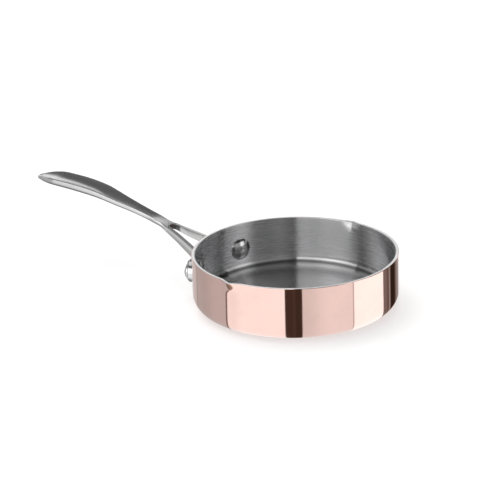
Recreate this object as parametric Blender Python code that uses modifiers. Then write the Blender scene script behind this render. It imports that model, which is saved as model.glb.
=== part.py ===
"""Small clad frying pan with a forked cast handle.

The pan is three bonded plies: a copper shell outside, an aluminium core and a
stainless lining. Two pouring lips are pinched into the rim. A single stainless
casting forms the handle: a dished grip that narrows to a neck, splits into two
legs and ends in two pads on the wall. Two solid rivets hold it.

Frame: the origin is the centre of the underside, +Z is up and the handle
points along +X. Sizes are in metres.
"""
import math

import bmesh
import bpy
from mathutils import Matrix, Vector

MM = 0.001

# The pan's body, measured on the outside
PAN_RADIUS = 60.0 * MM
PAN_HEIGHT = 32.5 * MM
CORNER_RADIUS = 9.5 * MM
COPPER_PLY = 0.4 * MM
CORE_PLY = 0.8 * MM
LINING_PLY = 0.4 * MM
BOND_GAP = 0.2 * MM
CORNER_STEPS = 4
TURN_STEP = math.radians(5.0)

# The pouring lips, pinched into the rim at either side of the handle
LIP_ANGLE = math.radians(87.0)
LIP_REACH = 2.2 * MM
LIP_DIP = 0.3 * MM
LIP_HALF_ANGLE = math.radians(10.0)
LIP_STEPS = 6
LIP_DEPTH = 7.0 * MM
LIP_ROWS = (0.0, 0.25, 0.55, 1.0)

# The rivets, one on each side of the handle, and the holes they pass
RIVET_ANGLE = math.radians(21.3)
RIVET_HEIGHT = 16.9 * MM
SHANK_RADIUS = 3.0 * MM
SHANK_CLEARANCE = 0.3 * MM
INNER_HEAD_RADIUS = 6.3 * MM
INNER_HEAD_RISE = 2.8 * MM
OUTER_HEAD_RADIUS = 5.9 * MM
OUTER_HEAD_RISE = 2.8 * MM
HEAD_EDGE = 0.5 * MM
RIVET_STEPS = 36
DOME_STEPS = 6
SEAT_GAP = 0.3 * MM

# The pads under the rivets' outer heads: a round end and a slimmer root
PAD_RADIUS = 6.9 * MM
PAD_THICKNESS = 3.4 * MM
PAD_ROOT_RADIUS = 3.3 * MM
PAD_ROOT_REACH = 11.0 * MM
PAD_ROOT_RISE = 3.3 * MM
PAD_EDGE = 0.7 * MM
PAD_STEPS = 40

# The fork's legs, by the middle of their top face at each end. A leg leaves the
# neck along the handle's own line and straightens towards the wall
LEG_FOOT = Vector((56.0, 12.8, 21.8)) * MM
LEG_FOOT_WIDTH = 3.2 * MM
LEG_FOOT_DEPTH = 6.9 * MM
LEG_FOOT_HEADING = Vector((1.0, -0.262, 0.325))
LEG_HEAD = Vector((99.0, 1.9, 34.8)) * MM
LEG_HEAD_WIDTH = 2.8 * MM
LEG_HEAD_DEPTH = 2.2 * MM
LEG_HEAD_HEADING = Vector((1.0, -0.1, 0.245))
LEG_EDGE = 0.6 * MM
LEG_STEPS = 12

# The round crotch between the legs
CROTCH_RADIUS = 3.1 * MM
CROTCH_CENTRE = 86.6 * MM

# The grip, by sections from the fork to where the tip begins. Each row holds
# the distance from the pan's axis, the width, the height of the top edges, the
# thickness below them at the middle, and the depth of the dish, in millimetres
GRIP_SECTIONS = (
    (86.0, 10.0, 31.2, 3.0, 0.1),
    (96.0, 8.3, 34.5, 4.1, 0.2),
    (104.0, 7.6, 36.6, 4.0, 0.3),
    (116.0, 9.0, 39.7, 4.2, 0.6),
    (128.0, 11.7, 43.0, 4.9, 0.9),
    (140.0, 14.2, 46.0, 5.6, 1.2),
    (156.0, 15.7, 48.0, 6.0, 1.4),
    (172.0, 15.7, 48.7, 5.8, 1.3),
)
GRIP_STEP = 4.0 * MM
TIP_REACH = 190.5 * MM
TIP_DROP = 2.9 * MM
TIP_THICKNESS = 1.6 * MM
TIP_STEPS = 9

# Half a grip section, from the middle of the dish round to the middle of the
# underside: share of the half width, share of the dish and of the thickness
SECTION_SHAPE = (
    (0.00, -1.00, 0.00),
    (0.34, -0.86, 0.00),
    (0.66, -0.48, 0.00),
    (0.90, -0.06, 0.00),
    (1.00, 0.00, 0.00),
    (0.98, 0.00, -0.20),
    (0.84, 0.00, -0.66),
    (0.48, 0.00, -0.94),
    (0.00, 0.00, -1.00),
)

CUT_MARGIN = 6.0 * MM
WALL = COPPER_PLY + CORE_PLY + LINING_PLY + 2.0 * BOND_GAP


def clear_scene():
    for item in list(bpy.data.objects):
        bpy.data.objects.remove(item, do_unlink=True)


def make_collection(name):
    group = bpy.data.collections.new(name)
    bpy.context.scene.collection.children.link(group)
    return group


def make_material(name, colour, roughness):
    material = bpy.data.materials.new(name)
    material.use_nodes = True
    shader = material.node_tree.nodes["Principled BSDF"]
    shader.inputs["Base Color"].default_value = (*colour, 1.0)
    shader.inputs["Roughness"].default_value = roughness
    shader.inputs["Metallic"].default_value = 1.0
    return material


def finish_mesh(bm, name, sharp_angle=35.0):
    """Turns a closed bmesh into a mesh, facing out and shaded smooth but for its real edges."""
    bmesh.ops.recalc_face_normals(bm, faces=bm.faces)
    mesh = bpy.data.meshes.new(name)
    bm.to_mesh(mesh)
    bm.free()
    mesh.shade_smooth()
    mesh.set_sharp_from_angle(angle=math.radians(sharp_angle))
    return mesh


def add_part(name, mesh, group, material):
    mesh.materials.append(material)
    part = bpy.data.objects.new(name, mesh)
    group.objects.link(part)
    return part


def add_tool(name, mesh, group):
    tool = bpy.data.objects.new(name, mesh)
    group.objects.link(tool)
    tool.hide_render = True
    tool.display_type = "WIRE"
    return tool


def use_tool(part, tool, operation):
    modifier = part.modifiers.new(operation.title() + " " + tool.name, "BOOLEAN")
    modifier.operation = operation
    modifier.object = tool
    modifier.solver = "EXACT"


def even_shading(part):
    """Keeps flat faces flat to the eye beside the edges that a Boolean leaves."""
    modifier = part.modifiers.new("Face-weighted normals", "WEIGHTED_NORMAL")
    modifier.keep_sharp = True


def ply_outline(inset):
    """Points (radius, height) of the pan's outside moved inwards by inset, centre to rim."""
    centre = Vector((PAN_RADIUS - CORNER_RADIUS, CORNER_RADIUS))
    points = [(0.0, inset)]
    for step in range(CORNER_STEPS + 1):
        angle = math.radians(90.0) * (step / CORNER_STEPS - 1.0)
        spoke = Vector((math.cos(angle), math.sin(angle))) * (CORNER_RADIUS - inset)
        points.append(tuple(centre + spoke))
    for share in reversed(LIP_ROWS):
        points.append((PAN_RADIUS - inset, PAN_HEIGHT - LIP_DEPTH * share))
    return points


def lip_share(turn, height):
    """How much of the lip's reach a place takes: 1 at its point, 0 outside the pinch."""
    across = min(abs(turn) / LIP_HALF_ANGLE, 1.0)
    below = min((PAN_HEIGHT - height) / LIP_DEPTH, 1.0)
    return (1.0 - across) ** 2 * (1.0 + 0.6 * across) * (1.0 - below) ** 2


def press_lips(bm):
    """Pinches both pouring lips into a turned ply."""
    for vert in bm.verts:
        direction = math.atan2(vert.co.y, vert.co.x)
        share = lip_share(abs(direction) - LIP_ANGLE, vert.co.z)
        outwards = Vector((math.cos(direction), math.sin(direction), 0.0))
        vert.co += outwards * LIP_REACH * share
        vert.co.z -= LIP_DIP * share


def ply_mesh(name, outer_inset, inner_inset):
    """Spins a ply's section about the pan's axis, with short steps where the lips are."""
    outline = ply_outline(outer_inset) + ply_outline(inner_inset)[::-1]
    bm = bmesh.new()
    start = Matrix.Rotation(LIP_ANGLE - LIP_HALF_ANGLE, 4, "Z")
    verts = [bm.verts.new(start @ Vector((radius, 0.0, height))) for radius, height in outline]
    edges = [bm.edges.new(pair) for pair in zip(verts, verts[1:])]
    lip_arc = (2.0 * LIP_HALF_ANGLE, 2 * LIP_STEPS)
    back_arc = math.tau - 2.0 * (LIP_ANGLE + LIP_HALF_ANGLE)
    front_arc = 2.0 * (LIP_ANGLE - LIP_HALF_ANGLE)
    arcs = (
        lip_arc,
        (back_arc, round(back_arc / TURN_STEP)),
        lip_arc,
        (front_arc, round(front_arc / TURN_STEP)),
    )
    profile = verts + edges
    for angle, steps in arcs:
        spun = bmesh.ops.spin(
            bm, geom=profile, cent=(0.0, 0.0, 0.0), axis=(0.0, 0.0, 1.0),
            angle=angle, steps=steps, use_merge=False, use_duplicate=False,
        )
        profile = spun["geom_last"]
    bmesh.ops.remove_doubles(bm, verts=bm.verts, dist=0.001 * MM)
    press_lips(bm)
    return finish_mesh(bm, name)


def rivet_axis(side):
    """Places local +Z along a rivet, pointing away from the pan's axis. side is 1 or -1."""
    turn = Matrix.Rotation(side * RIVET_ANGLE, 4, "Z")
    lift = Matrix.Translation((0.0, 0.0, RIVET_HEIGHT))
    return lift @ turn @ Matrix.Rotation(math.radians(90.0), 4, "Y")


def cylinder_mesh(name, radius, low, high, steps, place=Matrix()):
    """A cylinder about local Z from low to high."""
    bm = bmesh.new()
    bmesh.ops.create_cone(
        bm, cap_ends=True, segments=steps, radius1=radius, radius2=radius, depth=high - low,
    )
    bmesh.ops.translate(bm, verts=bm.verts, vec=(0.0, 0.0, (low + high) / 2.0))
    bmesh.ops.transform(bm, matrix=place, verts=bm.verts)
    return finish_mesh(bm, name)


def dome_points(radius, seat, rise, direction):
    """Points (radius, height) of a domed head from its crown to the foot of its edge."""
    crown = rise - HEAD_EDGE
    ball = (radius ** 2 + crown ** 2) / (2.0 * crown)
    spread = math.asin(radius / ball)
    points = []
    for step in range(DOME_STEPS + 1):
        angle = spread * step / DOME_STEPS
        drop = ball * (1.0 - math.cos(angle))
        points.append((ball * math.sin(angle), seat + direction * (rise - drop)))
    points.append((radius, seat))
    return points


def turned_part(name, outline, place, group, material=None):
    """Turns an outline about local Z with a Screw modifier. It runs down the outer side."""
    bm = bmesh.new()
    verts = [bm.verts.new((radius, 0.0, height)) for radius, height in outline]
    for pair in zip(verts, verts[1:]):
        bm.edges.new(pair)
    mesh = bpy.data.meshes.new(name)
    bm.to_mesh(mesh)
    bm.free()
    part = add_part(name, mesh, group, material) if material else add_tool(name, mesh, group)
    part.matrix_world = place
    screw = part.modifiers.new("Turn", "SCREW")
    screw.steps = RIVET_STEPS
    screw.render_steps = RIVET_STEPS
    screw.use_merge_vertices = True
    screw.merge_threshold = 0.00001
    return part


def build_rivet(name, side, group, tools, material):
    """One rivet: shank and outer head in one turned piece, joined to a head that fits the wall."""
    place = rivet_axis(side)
    pad_face = PAN_RADIUS + PAD_THICKNESS + SEAT_GAP
    wall_face = PAN_RADIUS - WALL
    outer = dome_points(OUTER_HEAD_RADIUS, pad_face, OUTER_HEAD_RISE, 1.0)
    shank_foot = wall_face - INNER_HEAD_RISE / 2.0
    outline = outer + [(SHANK_RADIUS, pad_face), (SHANK_RADIUS, shank_foot), (0.0, shank_foot)]
    rivet = turned_part(name, outline, place, group, material)
    inner = dome_points(INNER_HEAD_RADIUS, wall_face, INNER_HEAD_RISE, -1.0)
    head = turned_part(name + " inner head", [(0.0, wall_face)] + inner[::-1], place, tools)
    shape = cylinder_mesh(
        name + " lining face", PAN_RADIUS - WALL - SEAT_GAP, -CUT_MARGIN, PAN_HEIGHT, 144,
    )
    use_tool(head, add_tool(name + " lining face", shape, tools), "INTERSECT")
    use_tool(rivet, head, "UNION")
    even_shading(rivet)


def smooth_between(rows, x):
    """Every value of a table of rows at x, read from a smooth curve through the rows."""
    last = len(rows) - 2
    index = max(i for i in range(last + 1) if rows[i][0] <= x or i == 0)
    left, right = rows[index], rows[index + 1]
    before = rows[max(index - 1, 0)]
    after = rows[min(index + 2, len(rows) - 1)]
    span = right[0] - left[0]
    t = (x - left[0]) / span
    values = []
    for column in range(1, len(left)):
        slope_in = (right[column] - before[column]) / (right[0] - before[0])
        slope_out = (after[column] - left[column]) / (after[0] - left[0])
        values.append(
            left[column] * (2 * t ** 3 - 3 * t ** 2 + 1)
            + right[column] * (3 * t ** 2 - 2 * t ** 3)
            + span * slope_in * (t ** 3 - 2 * t ** 2 + t)
            + span * slope_out * (t ** 3 - t ** 2)
        )
    return values


def grip_stations():
    """(x, width, edge height, thickness, dish) of each ring of the grip, in metres."""
    first = GRIP_SECTIONS[0][0] * MM
    tip_start = GRIP_SECTIONS[-1][0] * MM
    count = round((tip_start - first) / GRIP_STEP)
    stations = []
    for step in range(count + 1):
        x = first + (tip_start - first) * step / count
        values = smooth_between(GRIP_SECTIONS, min(x / MM, GRIP_SECTIONS[-1][0]))
        stations.append((x, *(value * MM for value in values)))
    _, width, height, thickness, dish = stations[-1]
    for step in range(1, TIP_STEPS):
        share = math.sin(math.radians(90.0) * step / TIP_STEPS)
        narrow = (1.0 - share ** 1.7) ** 0.75
        x = tip_start + (TIP_REACH - tip_start) * share
        thin = TIP_THICKNESS + (thickness - TIP_THICKNESS) * (1.0 - share ** 2)
        stations.append((x, width * narrow, height - TIP_DROP * share ** 2.2, thin, dish * narrow))
    return stations


def section_ring(bm, station):
    """One closed ring of the grip, in a plane across the handle."""
    x, width, height, thickness, dish = station
    half = []
    for across, dished, down in SECTION_SHAPE:
        half.append((across * width / 2.0, height + dished * dish + down * thickness))
    other = [(-y, z) for y, z in half[-2:0:-1]]
    return [bm.verts.new((x, y, z)) for y, z in half + other]


def skin_rings(bm, rings):
    """Joins each ring to the next with a band of faces and closes both ends."""
    for first, second in zip(rings, rings[1:]):
        for index in range(len(first)):
            after = (index + 1) % len(first)
            bm.faces.new((first[index], first[after], second[after], second[index]))
    bm.faces.new(rings[0])
    bm.faces.new(rings[-1])


def grip_mesh(name):
    """The dished grip and neck: a loft through sections that change shape all the way."""
    bm = bmesh.new()
    skin_rings(bm, [section_ring(bm, station) for station in grip_stations()])
    return finish_mesh(bm, name)


def leg_line(t):
    """A point on a leg's top line, and the line's heading there, from foot (0) to head (1)."""
    run = LEG_HEAD.x - LEG_FOOT.x
    start = LEG_FOOT_HEADING * run
    end = LEG_HEAD_HEADING * run
    place = (
        LEG_FOOT * (2 * t ** 3 - 3 * t ** 2 + 1) + start * (t ** 3 - 2 * t ** 2 + t)
        + LEG_HEAD * (3 * t ** 2 - 2 * t ** 3) + end * (t ** 3 - t ** 2)
    )
    heading = (
        (LEG_FOOT - LEG_HEAD) * (6 * t ** 2 - 6 * t) + start * (3 * t ** 2 - 4 * t + 1)
        + end * (3 * t ** 2 - 2 * t)
    )
    return place, heading


def leg_ring(bm, share, side):
    """One rounded oblong ring of a leg, upright and square to the leg's run."""
    top, run = leg_line(share)
    across = Vector((-run.y, run.x, 0.0)).normalized()
    width = LEG_FOOT_WIDTH + (LEG_HEAD_WIDTH - LEG_FOOT_WIDTH) * share
    depth = LEG_FOOT_DEPTH + (LEG_HEAD_DEPTH - LEG_FOOT_DEPTH) * share
    corners = (
        (width / 2.0 - LEG_EDGE, 0.0), (width / 2.0, -LEG_EDGE),
        (width / 2.0, LEG_EDGE - depth), (width / 2.0 - LEG_EDGE, -depth),
        (LEG_EDGE - width / 2.0, -depth), (-width / 2.0, LEG_EDGE - depth),
        (-width / 2.0, -LEG_EDGE), (LEG_EDGE - width / 2.0, 0.0),
    )
    ring = []
    for sideways, up in corners:
        place = top + across * sideways + Vector((0.0, 0.0, up))
        ring.append(bm.verts.new((place.x, place.y * side, place.z)))
    return ring


def leg_mesh(name, side):
    """A leg of the fork. Its ends lie inside the neck and inside the wall's clearance."""
    bm = bmesh.new()
    skin_rings(bm, [leg_ring(bm, step / LEG_STEPS, side) for step in range(LEG_STEPS + 1)])
    return finish_mesh(bm, name)


def pad_outline(side):
    """The pad's outline across the rivet's axis: a round end drawn down to a slimmer root."""
    root = Vector((PAD_ROOT_RISE, -side * PAD_ROOT_REACH))
    reach = root.length
    lean = math.asin((PAD_RADIUS - PAD_ROOT_RADIUS) / reach)
    towards = math.atan2(root.y, root.x)
    points = []
    quarter = math.radians(90.0)
    for centre, radius, first, last in (
        (Vector((0.0, 0.0)), PAD_RADIUS, quarter - lean, math.tau - quarter + lean),
        (root, PAD_ROOT_RADIUS, lean - quarter, quarter - lean),
    ):
        steps = max(6, round(PAD_STEPS * (last - first) / math.tau))
        for step in range(steps + 1):
            angle = towards + first + (last - first) * step / steps
            points.append(centre + Vector((math.cos(angle), math.sin(angle))) * radius)
    return points


def pad_mesh(name, side):
    """A pad as a flat plate across the rivet's axis, with its outer edge rounded."""
    bm = bmesh.new()
    inside = PAN_RADIUS - CUT_MARGIN
    outline = pad_outline(side)
    base = bm.faces.new([bm.verts.new((-point.x, point.y, inside)) for point in outline])
    raised = bmesh.ops.extrude_face_region(bm, geom=[base])["geom"]
    top = [item for item in raised if isinstance(item, bmesh.types.BMVert)]
    rise = PAN_RADIUS + PAD_THICKNESS - inside
    bmesh.ops.translate(bm, verts=top, vec=(0.0, 0.0, rise))
    rim = [edge for edge in bm.edges if all(vert in top for vert in edge.verts)]
    bmesh.ops.bevel(
        bm, geom=rim, offset=PAD_EDGE, segments=2, profile=0.5, affect="EDGES", material=-1,
    )
    bmesh.ops.transform(bm, matrix=rivet_axis(side), verts=bm.verts)
    return finish_mesh(bm, name)


def build_handle(group, tools, holes, material):
    """The casting: grip, legs and pads in one piece, cut to the wall and drilled."""
    handle = add_part("handle", grip_mesh("handle"), group, material)
    for side, word in ((1, "left"), (-1, "right")):
        use_tool(handle, add_tool(word + " leg", leg_mesh(word + " leg", side), tools), "UNION")
        use_tool(handle, add_tool(word + " pad", pad_mesh(word + " pad", side), tools), "UNION")
    wall = cylinder_mesh(
        "wall clearance", PAN_RADIUS + SEAT_GAP, -CUT_MARGIN, PAN_HEIGHT + CUT_MARGIN, 144,
    )
    use_tool(handle, add_tool("wall clearance", wall, tools), "DIFFERENCE")
    crotch = cylinder_mesh(
        "crotch", CROTCH_RADIUS, 0.0, 2.0 * PAN_HEIGHT, 32,
        Matrix.Translation((CROTCH_CENTRE, 0.0, 0.0)),
    )
    use_tool(handle, add_tool("crotch", crotch, tools), "DIFFERENCE")
    for hole in holes:
        use_tool(handle, hole, "DIFFERENCE")
    even_shading(handle)


def build():
    clear_scene()
    parts = make_collection("frying_pan")
    tools = make_collection("cutters")
    copper = make_material("polished copper", (0.93, 0.62, 0.52), 0.06)
    aluminium = make_material("rolled aluminium", (0.86, 0.87, 0.88), 0.3)
    lining = make_material("brushed stainless", (0.56, 0.56, 0.57), 0.32)
    cast = make_material("polished cast stainless", (0.62, 0.62, 0.63), 0.14)
    rivet = make_material("polished rivet stainless", (0.66, 0.66, 0.67), 0.1)

    holes = []
    for side, word in ((1, "left"), (-1, "right")):
        shape = cylinder_mesh(
            word + " rivet hole", SHANK_RADIUS + SHANK_CLEARANCE,
            PAN_RADIUS - WALL - CUT_MARGIN, PAN_RADIUS + PAD_THICKNESS + CUT_MARGIN,
            RIVET_STEPS, rivet_axis(side),
        )
        holes.append(add_tool(word + " rivet hole", shape, tools))

    core_inset = COPPER_PLY + BOND_GAP
    lining_inset = core_inset + CORE_PLY + BOND_GAP
    for name, inset, thickness, material in (
        ("copper_shell", 0.0, COPPER_PLY, copper),
        ("aluminium_core", core_inset, CORE_PLY, aluminium),
        ("steel_lining", lining_inset, LINING_PLY, lining),
    ):
        ply = add_part(name, ply_mesh(name, inset, inset + thickness), parts, material)
        for hole in holes:
            use_tool(ply, hole, "DIFFERENCE")
        even_shading(ply)

    build_handle(parts, tools, holes, cast)
    build_rivet("rivet_left", 1, parts, tools, rivet)
    build_rivet("rivet_right", -1, parts, tools, rivet)


build()
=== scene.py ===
"""Looks for a small clad frying pan: fine pieces, metal finishes and a studio.

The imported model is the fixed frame. Every piece here stands for one of its
nodes, lies where the node lies and rides on the same body.
"""

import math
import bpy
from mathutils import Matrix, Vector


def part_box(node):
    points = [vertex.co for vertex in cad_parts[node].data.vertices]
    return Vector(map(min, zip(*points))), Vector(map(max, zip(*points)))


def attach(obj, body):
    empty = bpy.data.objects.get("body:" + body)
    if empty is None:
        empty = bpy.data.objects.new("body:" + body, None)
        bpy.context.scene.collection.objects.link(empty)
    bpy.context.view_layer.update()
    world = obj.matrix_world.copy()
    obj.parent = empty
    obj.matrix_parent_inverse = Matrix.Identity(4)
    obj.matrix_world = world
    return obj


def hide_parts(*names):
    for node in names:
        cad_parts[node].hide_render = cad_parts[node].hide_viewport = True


bl_info = {
    "name": "Clad Frying Pan",
    "version": (1, 0, 0),
    "blender": (4, 5, 0),
    "location": "View3D > Sidebar > Frying Pan",
    "description": "Builds the pieces, finishes and studio of a small copper-clad frying pan",
    "category": "Add Mesh",
}

import bmesh
import bpy
from bpy.props import FloatProperty, FloatVectorProperty, PointerProperty
from mathutils import Matrix, Vector

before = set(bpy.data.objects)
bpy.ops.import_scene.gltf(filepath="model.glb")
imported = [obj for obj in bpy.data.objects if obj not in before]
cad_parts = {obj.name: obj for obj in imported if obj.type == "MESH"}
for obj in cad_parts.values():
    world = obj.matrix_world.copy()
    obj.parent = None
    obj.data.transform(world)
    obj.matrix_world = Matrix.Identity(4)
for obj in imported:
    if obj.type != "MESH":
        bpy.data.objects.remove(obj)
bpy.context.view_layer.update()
SHELL_LOW, SHELL_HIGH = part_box("copper_shell")
HANDLE_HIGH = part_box("handle")[1]

MM = 0.001
UP = Vector((0.0, 0.0, 1.0))
WHITE = (1.0, 1.0, 1.0, 1.0)

# Vertices that lie closer than this are one
MERGED = 0.002 * MM

# How finely round shapes are cut: degrees in a step round the pan, at the lips and
# between them, then steps in a ply's corner, over its rim, up a dome, in a full turn of a
# rivet and of a pad's outline, and over a pad's edge
LIP_STEP = 0.4
WALL_STEP = 1.5
CORNER_STEPS = 14
RIM_STEPS = 5
DOME_STEPS = 18
RIVET_STEPS = 96
PAD_STEPS = 72
PAD_EDGE_STEPS = 5

# Rows of vertices up a ply's wall, as shares of the way from its corner to the foot of
# the lips, and beside the lips, as shares of their depth below the rim
WALL_ROWS = (0.15, 0.3, 0.45, 0.6, 0.75, 0.88)
LIP_ROWS = (1.0, 0.83, 0.67, 0.52, 0.38, 0.26, 0.16, 0.08)

# A lip's form: how round its point is, how much it narrows towards its foot and how
# hollow its sides are, then how wide the right lip's trace and the finely cut arc at a
# lip are, both in lip spreads
LIP_POINT = 0.06
LIP_NARROWING = 0.4
LEFT_HOLLOW = 1.15
RIGHT_HOLLOW = 1.5
TRACE_SPREAD = 1.5
LIP_ARC = 3.2

# A rivet's dome ends in a soft shoulder past this share of its angle, and an inner head
# stands this far off the lining
DOME_SHARE = 0.965
HEAD_GAP = 0.02 * MM

# The handle's grip by sections: distance from the pan's axis, width, height of the
# top edges, thickness below them and depth of the dish, in millimetres
GRIP_SECTIONS = (
    (86.0, 10.0, 31.2, 3.0, 0.1),
    (96.0, 8.3, 34.5, 4.1, 0.2),
    (104.0, 7.6, 36.75, 4.1, 0.3),
    (116.0, 9.0, 39.9, 4.3, 0.6),
    (128.0, 11.7, 42.9, 4.9, 0.9),
    (140.0, 14.2, 46.0, 5.6, 1.2),
    (156.0, 15.7, 48.0, 6.0, 1.4),
    (172.0, 15.7, 48.65, 5.8, 1.3),
)
GRIP_STATIONS = (100.0, 104.0, 109.0, 114.0, 120.0, 126.0, 133.0, 140.0, 148.0, 156.0, 164.0, 172.0)

# Half a grip section from the middle of the dish round to the middle of the
# underside: share of the half width, of the dish and of the thickness. Two of its
# points run along the handle as crisp lines
SECTION_SHAPE = (
    (0.00, -1.00, 0.00),
    (0.34, -0.86, 0.00),
    (0.68, -0.48, 0.00),
    (0.955, 0.00, 0.00),
    (1.00, 0.00, -0.085),
    (0.985, 0.00, -0.28),
    (0.85, 0.00, -0.68),
    (0.48, 0.00, -0.94),
    (0.00, 0.00, -1.00),
)
TOP_EDGE = 3
SHOULDER = 4

# The rounded tip past the last section: its stations as shares of its length, how late
# it narrows and how bluntly it ends, how late it bends down and how far
TIP_SHARES = (0.27, 0.52, 0.73, 0.88, 0.965)
TIP_NARROWING = 1.7
TIP_BLUNTNESS = 0.75
TIP_BEND = 2.2
TIP_DROP = 2.9 * MM
TIP_THICKNESS = 1.6 * MM

# Where the neck passes from the grip's section into two legs: distance from the pan's
# axis and share of the way
NECK_STATIONS = ((96.5 * MM, 0.25), (93.0 * MM, 0.65))

# A leg's line: the middle of its top face at the wall and inside the neck, and its
# heading there
LEG_FOOT = Vector((56.0, 12.8, 21.8)) * MM
LEG_FOOT_HEADING = Vector((1.0, -0.262, 0.325))
LEG_HEAD = Vector((99.0, 1.9, 34.8)) * MM
LEG_HEAD_HEADING = Vector((1.0, -0.1, 0.245))
LEG_STATIONS = (82.5, 77.5, 72.0, 67.0, 63.0)

# The leg's last ring is cut at this station and slid onto the wall, along the line's
# heading at this share of its length
FOOT_STATION = 60.5
FOOT_SLIDE = 0.1

# A leg's ring from the inside of its top round to the inside of its bottom, as shares of
# its width and depth, the points up its inner side, and which points lie on its edges
LEG_OUTSIDE = (
    (0.0, 0.0), (0.3, 0.0), (0.56, 0.0), (0.76, 0.0), (0.84, 0.0),
    (0.97, -0.3), (1.0, -0.62), (0.95, -1.0), (0.0, -1.0),
)
LEG_INSIDE = (0.34, 0.67)
LEG_EDGES = (0, 4, 7, 8)

# How crisp the casting's edges stay when its cage is smoothed, and how often its faces
# are divided for that
TOP_EDGE_CREASE = 0.4
SHOULDER_CREASE = 0.55
LEG_CREASE = 0.5
FOOT_CREASE = 0.6
CASTING_LEVELS = 3

# Where the casting is made duller and painted darker as shade: the downward part of the
# normal over which this sets in below, the upright part over which it fades on the crotch's
# side, the distances from the crotch's centre in crotch radii, and the share left on the legs' inner
# sides
DULL_SHADE_BELOW = (0.3, 0.55)
DULL_SHADE_UPRIGHT = (0.6, 0.4)
DULL_SHADE_CROTCH = (1.35, 1.1)
DULL_SHADE_BETWEEN = 0.3


def a_length(name, description, default):
    """A size in the panel, in metres."""
    return FloatProperty(
        name=name, description=description, default=default,
        precision=5, unit="LENGTH", subtype="DISTANCE",
    )


def an_angle(name, description, degrees):
    """An angle in the panel."""
    return FloatProperty(
        name=name, description=description, default=math.radians(degrees), subtype="ANGLE",
    )


def a_share(name, description, default):
    """A share from none (0) to all (1) in the panel."""
    return FloatProperty(
        name=name, description=description, default=default, min=0.0, max=1.0, subtype="FACTOR",
    )


def a_colour(name, description, default):
    """A colour in the panel."""
    return FloatVectorProperty(
        name=name, description=description, default=default,
        size=3, min=0.0, max=1.0, subtype="COLOR",
    )


class BodySizes(bpy.types.PropertyGroup):
    radius: a_length("Radius", "Outside radius of the pan's wall", -SHELL_LOW.x)
    height: a_length("Height", "Height of the pan's rim above its base", SHELL_HIGH.z)
    corner: a_length("Corner Radius", "Outside radius between the base and the wall", 9.5 * MM)
    wall: a_length("Wall", "Thickness of all three plies together", 2.0 * MM)
    copper: a_length("Copper", "Thickness of the copper shell", 0.27 * MM)
    lining: a_length("Lining", "Thickness of the steel lining", 0.42 * MM)
    bond: a_length("Bond Line", "Groove between two plies at the rim", 0.05 * MM)
    rim_edge: a_length("Rim Edge", "Rounding of the rim's outer edge", 0.24 * MM)
    lining_edge: a_length("Lining Edge", "Rounding of the rim's inner edge", 0.38 * MM)
    left_lip: an_angle("Left Lip", "Direction of the pouring lip near +Y, from the handle", 86.5)
    right_lip: an_angle("Right Lip", "Direction of the pouring lip near -Y, from the handle", -90.4)
    lip_spread: an_angle("Lip Spread", "Half of the angle that a lip takes of the rim", 6.8)
    lip_reach: a_length("Lip Reach", "How far a lip's point stands out of the wall", 2.2 * MM)
    lip_dip: a_length("Lip Dip", "How far a lip's point lies below the rim", 0.3 * MM)
    lip_depth: a_length("Lip Depth", "How far down the wall a lip is pinched", 7.0 * MM)
    lip_run: a_length("Lip Run", "How far down the wall the right lip's trace runs out", 18.0 * MM)
    lip_trace: a_share("Lip Trace", "Share of the right lip's reach that runs out slowly", 0.12)


class RivetSizes(bpy.types.PropertyGroup):
    angle: an_angle("Angle", "Direction of each rivet, from the handle", 21.3)
    height: a_length("Height", "Height of the rivets above the base", 16.9 * MM)
    inner_radius: a_length("Inner Head Radius", "Radius of the heads inside the pan", 6.5 * MM)
    outer_radius: a_length("Outer Head Radius", "Radius of the heads on the pads", 5.9 * MM)
    rise: a_length("Head Rise", "Height of every head's dome", 2.8 * MM)
    edge: a_length("Head Edge", "Height of the upright edge under a dome", 0.5 * MM)
    shank: a_length("Shank Radius", "Radius of the shank between the heads", 3.0 * MM)


class HandleSizes(bpy.types.PropertyGroup):
    reach: a_length("Reach", "Distance of the handle's tip from the pan's axis", HANDLE_HIGH.x)
    seat: a_length("Seat", "Clearance between the casting and the wall", 0.3 * MM)
    foot_width: a_length("Foot Width", "Width of a leg at the wall", 3.2 * MM)
    foot_depth: a_length("Foot Depth", "Depth of a leg at the wall", 6.9 * MM)
    head_width: a_length("Head Width", "Width of a leg where it leaves the neck", 2.8 * MM)
    head_depth: a_length("Head Depth", "Depth of a leg where it leaves the neck", 2.2 * MM)
    crotch_radius: a_length("Crotch Radius", "Radius of the round crotch between the legs", 3.1 * MM)
    crotch_centre: a_length("Crotch Centre", "Distance of the crotch from the pan's axis", 86.6 * MM)
    pad_radius: a_length("Pad Radius", "Radius of a pad's round end", 6.9 * MM)
    pad_thickness: a_length("Pad Thickness", "Thickness of a pad at its rivet", 3.4 * MM)
    pad_edge: a_length("Pad Edge", "Rounding of a pad's outer edge", 0.7 * MM)
    root_radius: a_length("Root Radius", "Radius of a pad's slimmer root", 3.3 * MM)
    root_reach: a_length("Root Reach", "Distance of the root from the rivet, sideways", 11.0 * MM)
    root_rise: a_length("Root Rise", "Distance of the root from the rivet, upwards", 3.3 * MM)


class FinishColours(bpy.types.PropertyGroup):
    copper: a_colour("Copper", "Colour of the polished copper", (0.93, 0.66, 0.595))
    core: a_colour("Core", "Colour of the aluminium core's edge", (0.97, 0.97, 0.97))
    lining: a_colour("Lining", "Colour of the brushed steel lining", (0.68, 0.68, 0.685))
    casting: a_colour("Casting", "Colour of the polished cast handle", (0.68, 0.68, 0.68))
    rivet: a_colour("Rivet", "Colour of the polished rivets", (0.72, 0.72, 0.72))


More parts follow.
